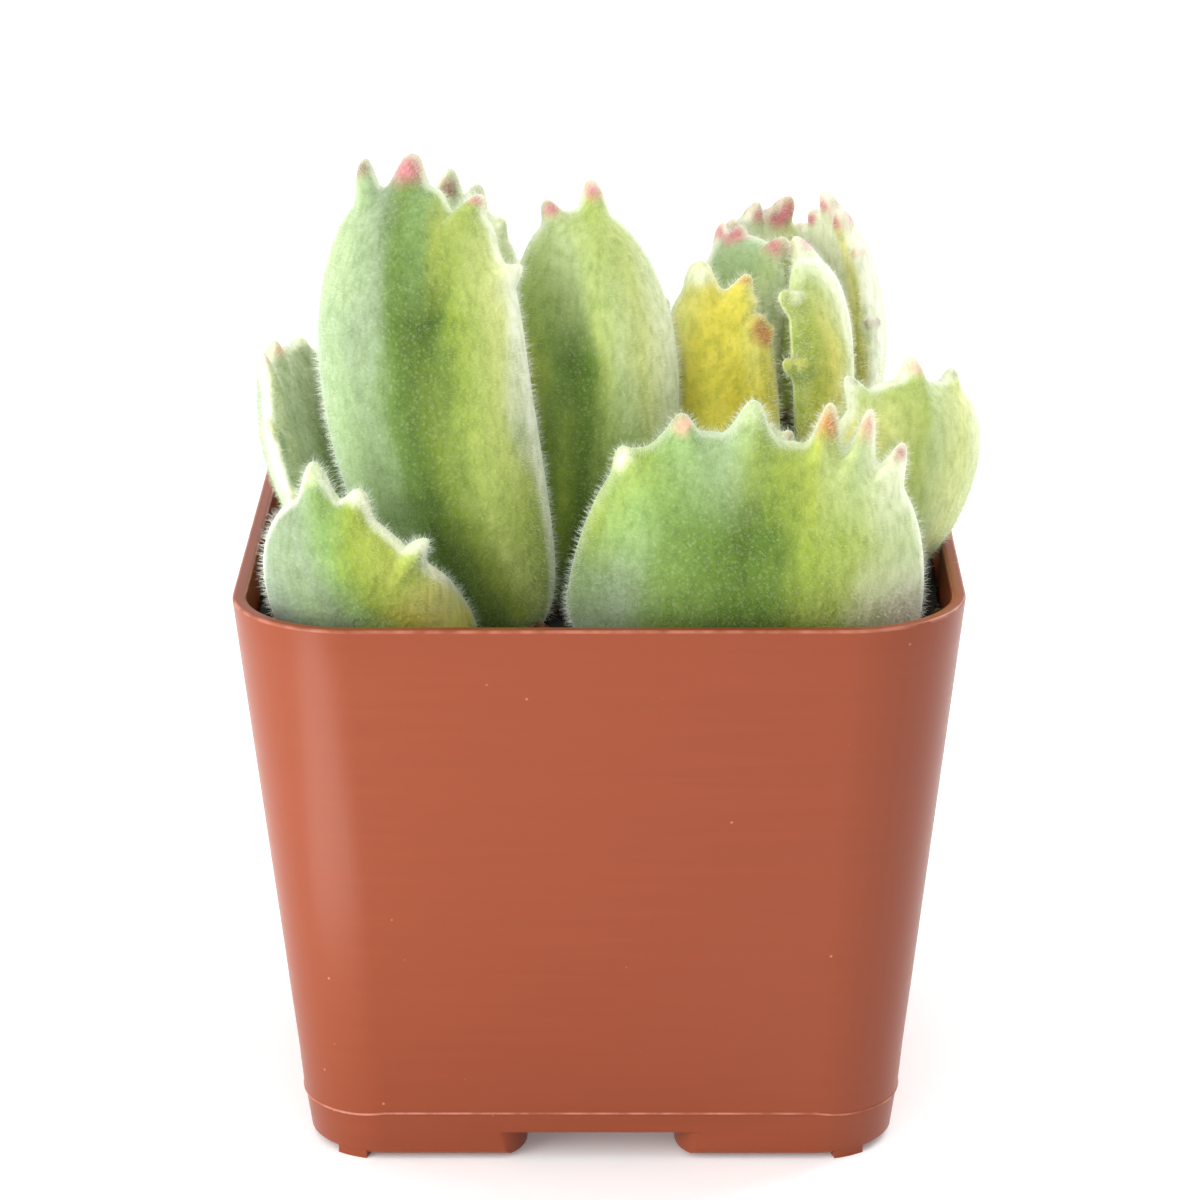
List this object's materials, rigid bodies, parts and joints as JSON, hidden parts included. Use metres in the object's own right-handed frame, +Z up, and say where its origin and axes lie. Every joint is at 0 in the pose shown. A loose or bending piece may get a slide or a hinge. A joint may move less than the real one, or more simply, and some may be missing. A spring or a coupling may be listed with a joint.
{
  "type": "potted succulent",
  "caption": "Small square plastic nursery pot of soil planted with a variegated bear's paw succulent, whose plump velvety leaves end in rows of short red-tipped teeth.",
  "frame": {"origin": "on the surface that the pot stands on, under the middle of the whole plant's bounding box, which is 1.03 mm to the right of the pot's own middle", "axes": "+Z up, -Y the front of the pot as the picture shows it, +X to the viewer's right"},
  "size_m": [0.0588, 0.057, 0.0786],
  "materials": {
    "pot_plastic": "satin",
    "potting_mix": "matt, crumbly",
    "stem_bark": "matt",
    "leaf_green_striped": "velvety, short white hairs",
    "leaf_pale": "velvety, short white hairs",
    "leaf_yellow_flesh": "velvety, short white hairs"
  },
  "bodies": {
    "root": {"pot": "pot_plastic", "soil": "potting_mix", "stem_left": "stem_bark", "stem_right": "stem_bark", "stem_front": "stem_bark", "leaf_left_tall": "leaf_green_striped", "leaf_centre_tall": "leaf_green_striped", "leaf_left_behind": "leaf_green_striped", "leaf_left_side": "leaf_green_striped", "leaf_front_left": "leaf_green_striped", "leaf_front_right": "leaf_green_striped", "leaf_right_side": "leaf_pale", "leaf_yellow": "leaf_yellow_flesh", "leaf_pair_front": "leaf_yellow_flesh", "leaf_pair_back": "leaf_green_striped", "leaf_pair_left": "leaf_green_striped", "leaf_right_behind": "leaf_pale", "leaf_bud_left": "leaf_green_striped", "leaf_bud_front": "leaf_green_striped", "leaf_back_centre": "leaf_green_striped", "leaf_back_left": "leaf_green_striped", "leaf_back_right": "leaf_green_striped"}
  },
  "joints": []
}
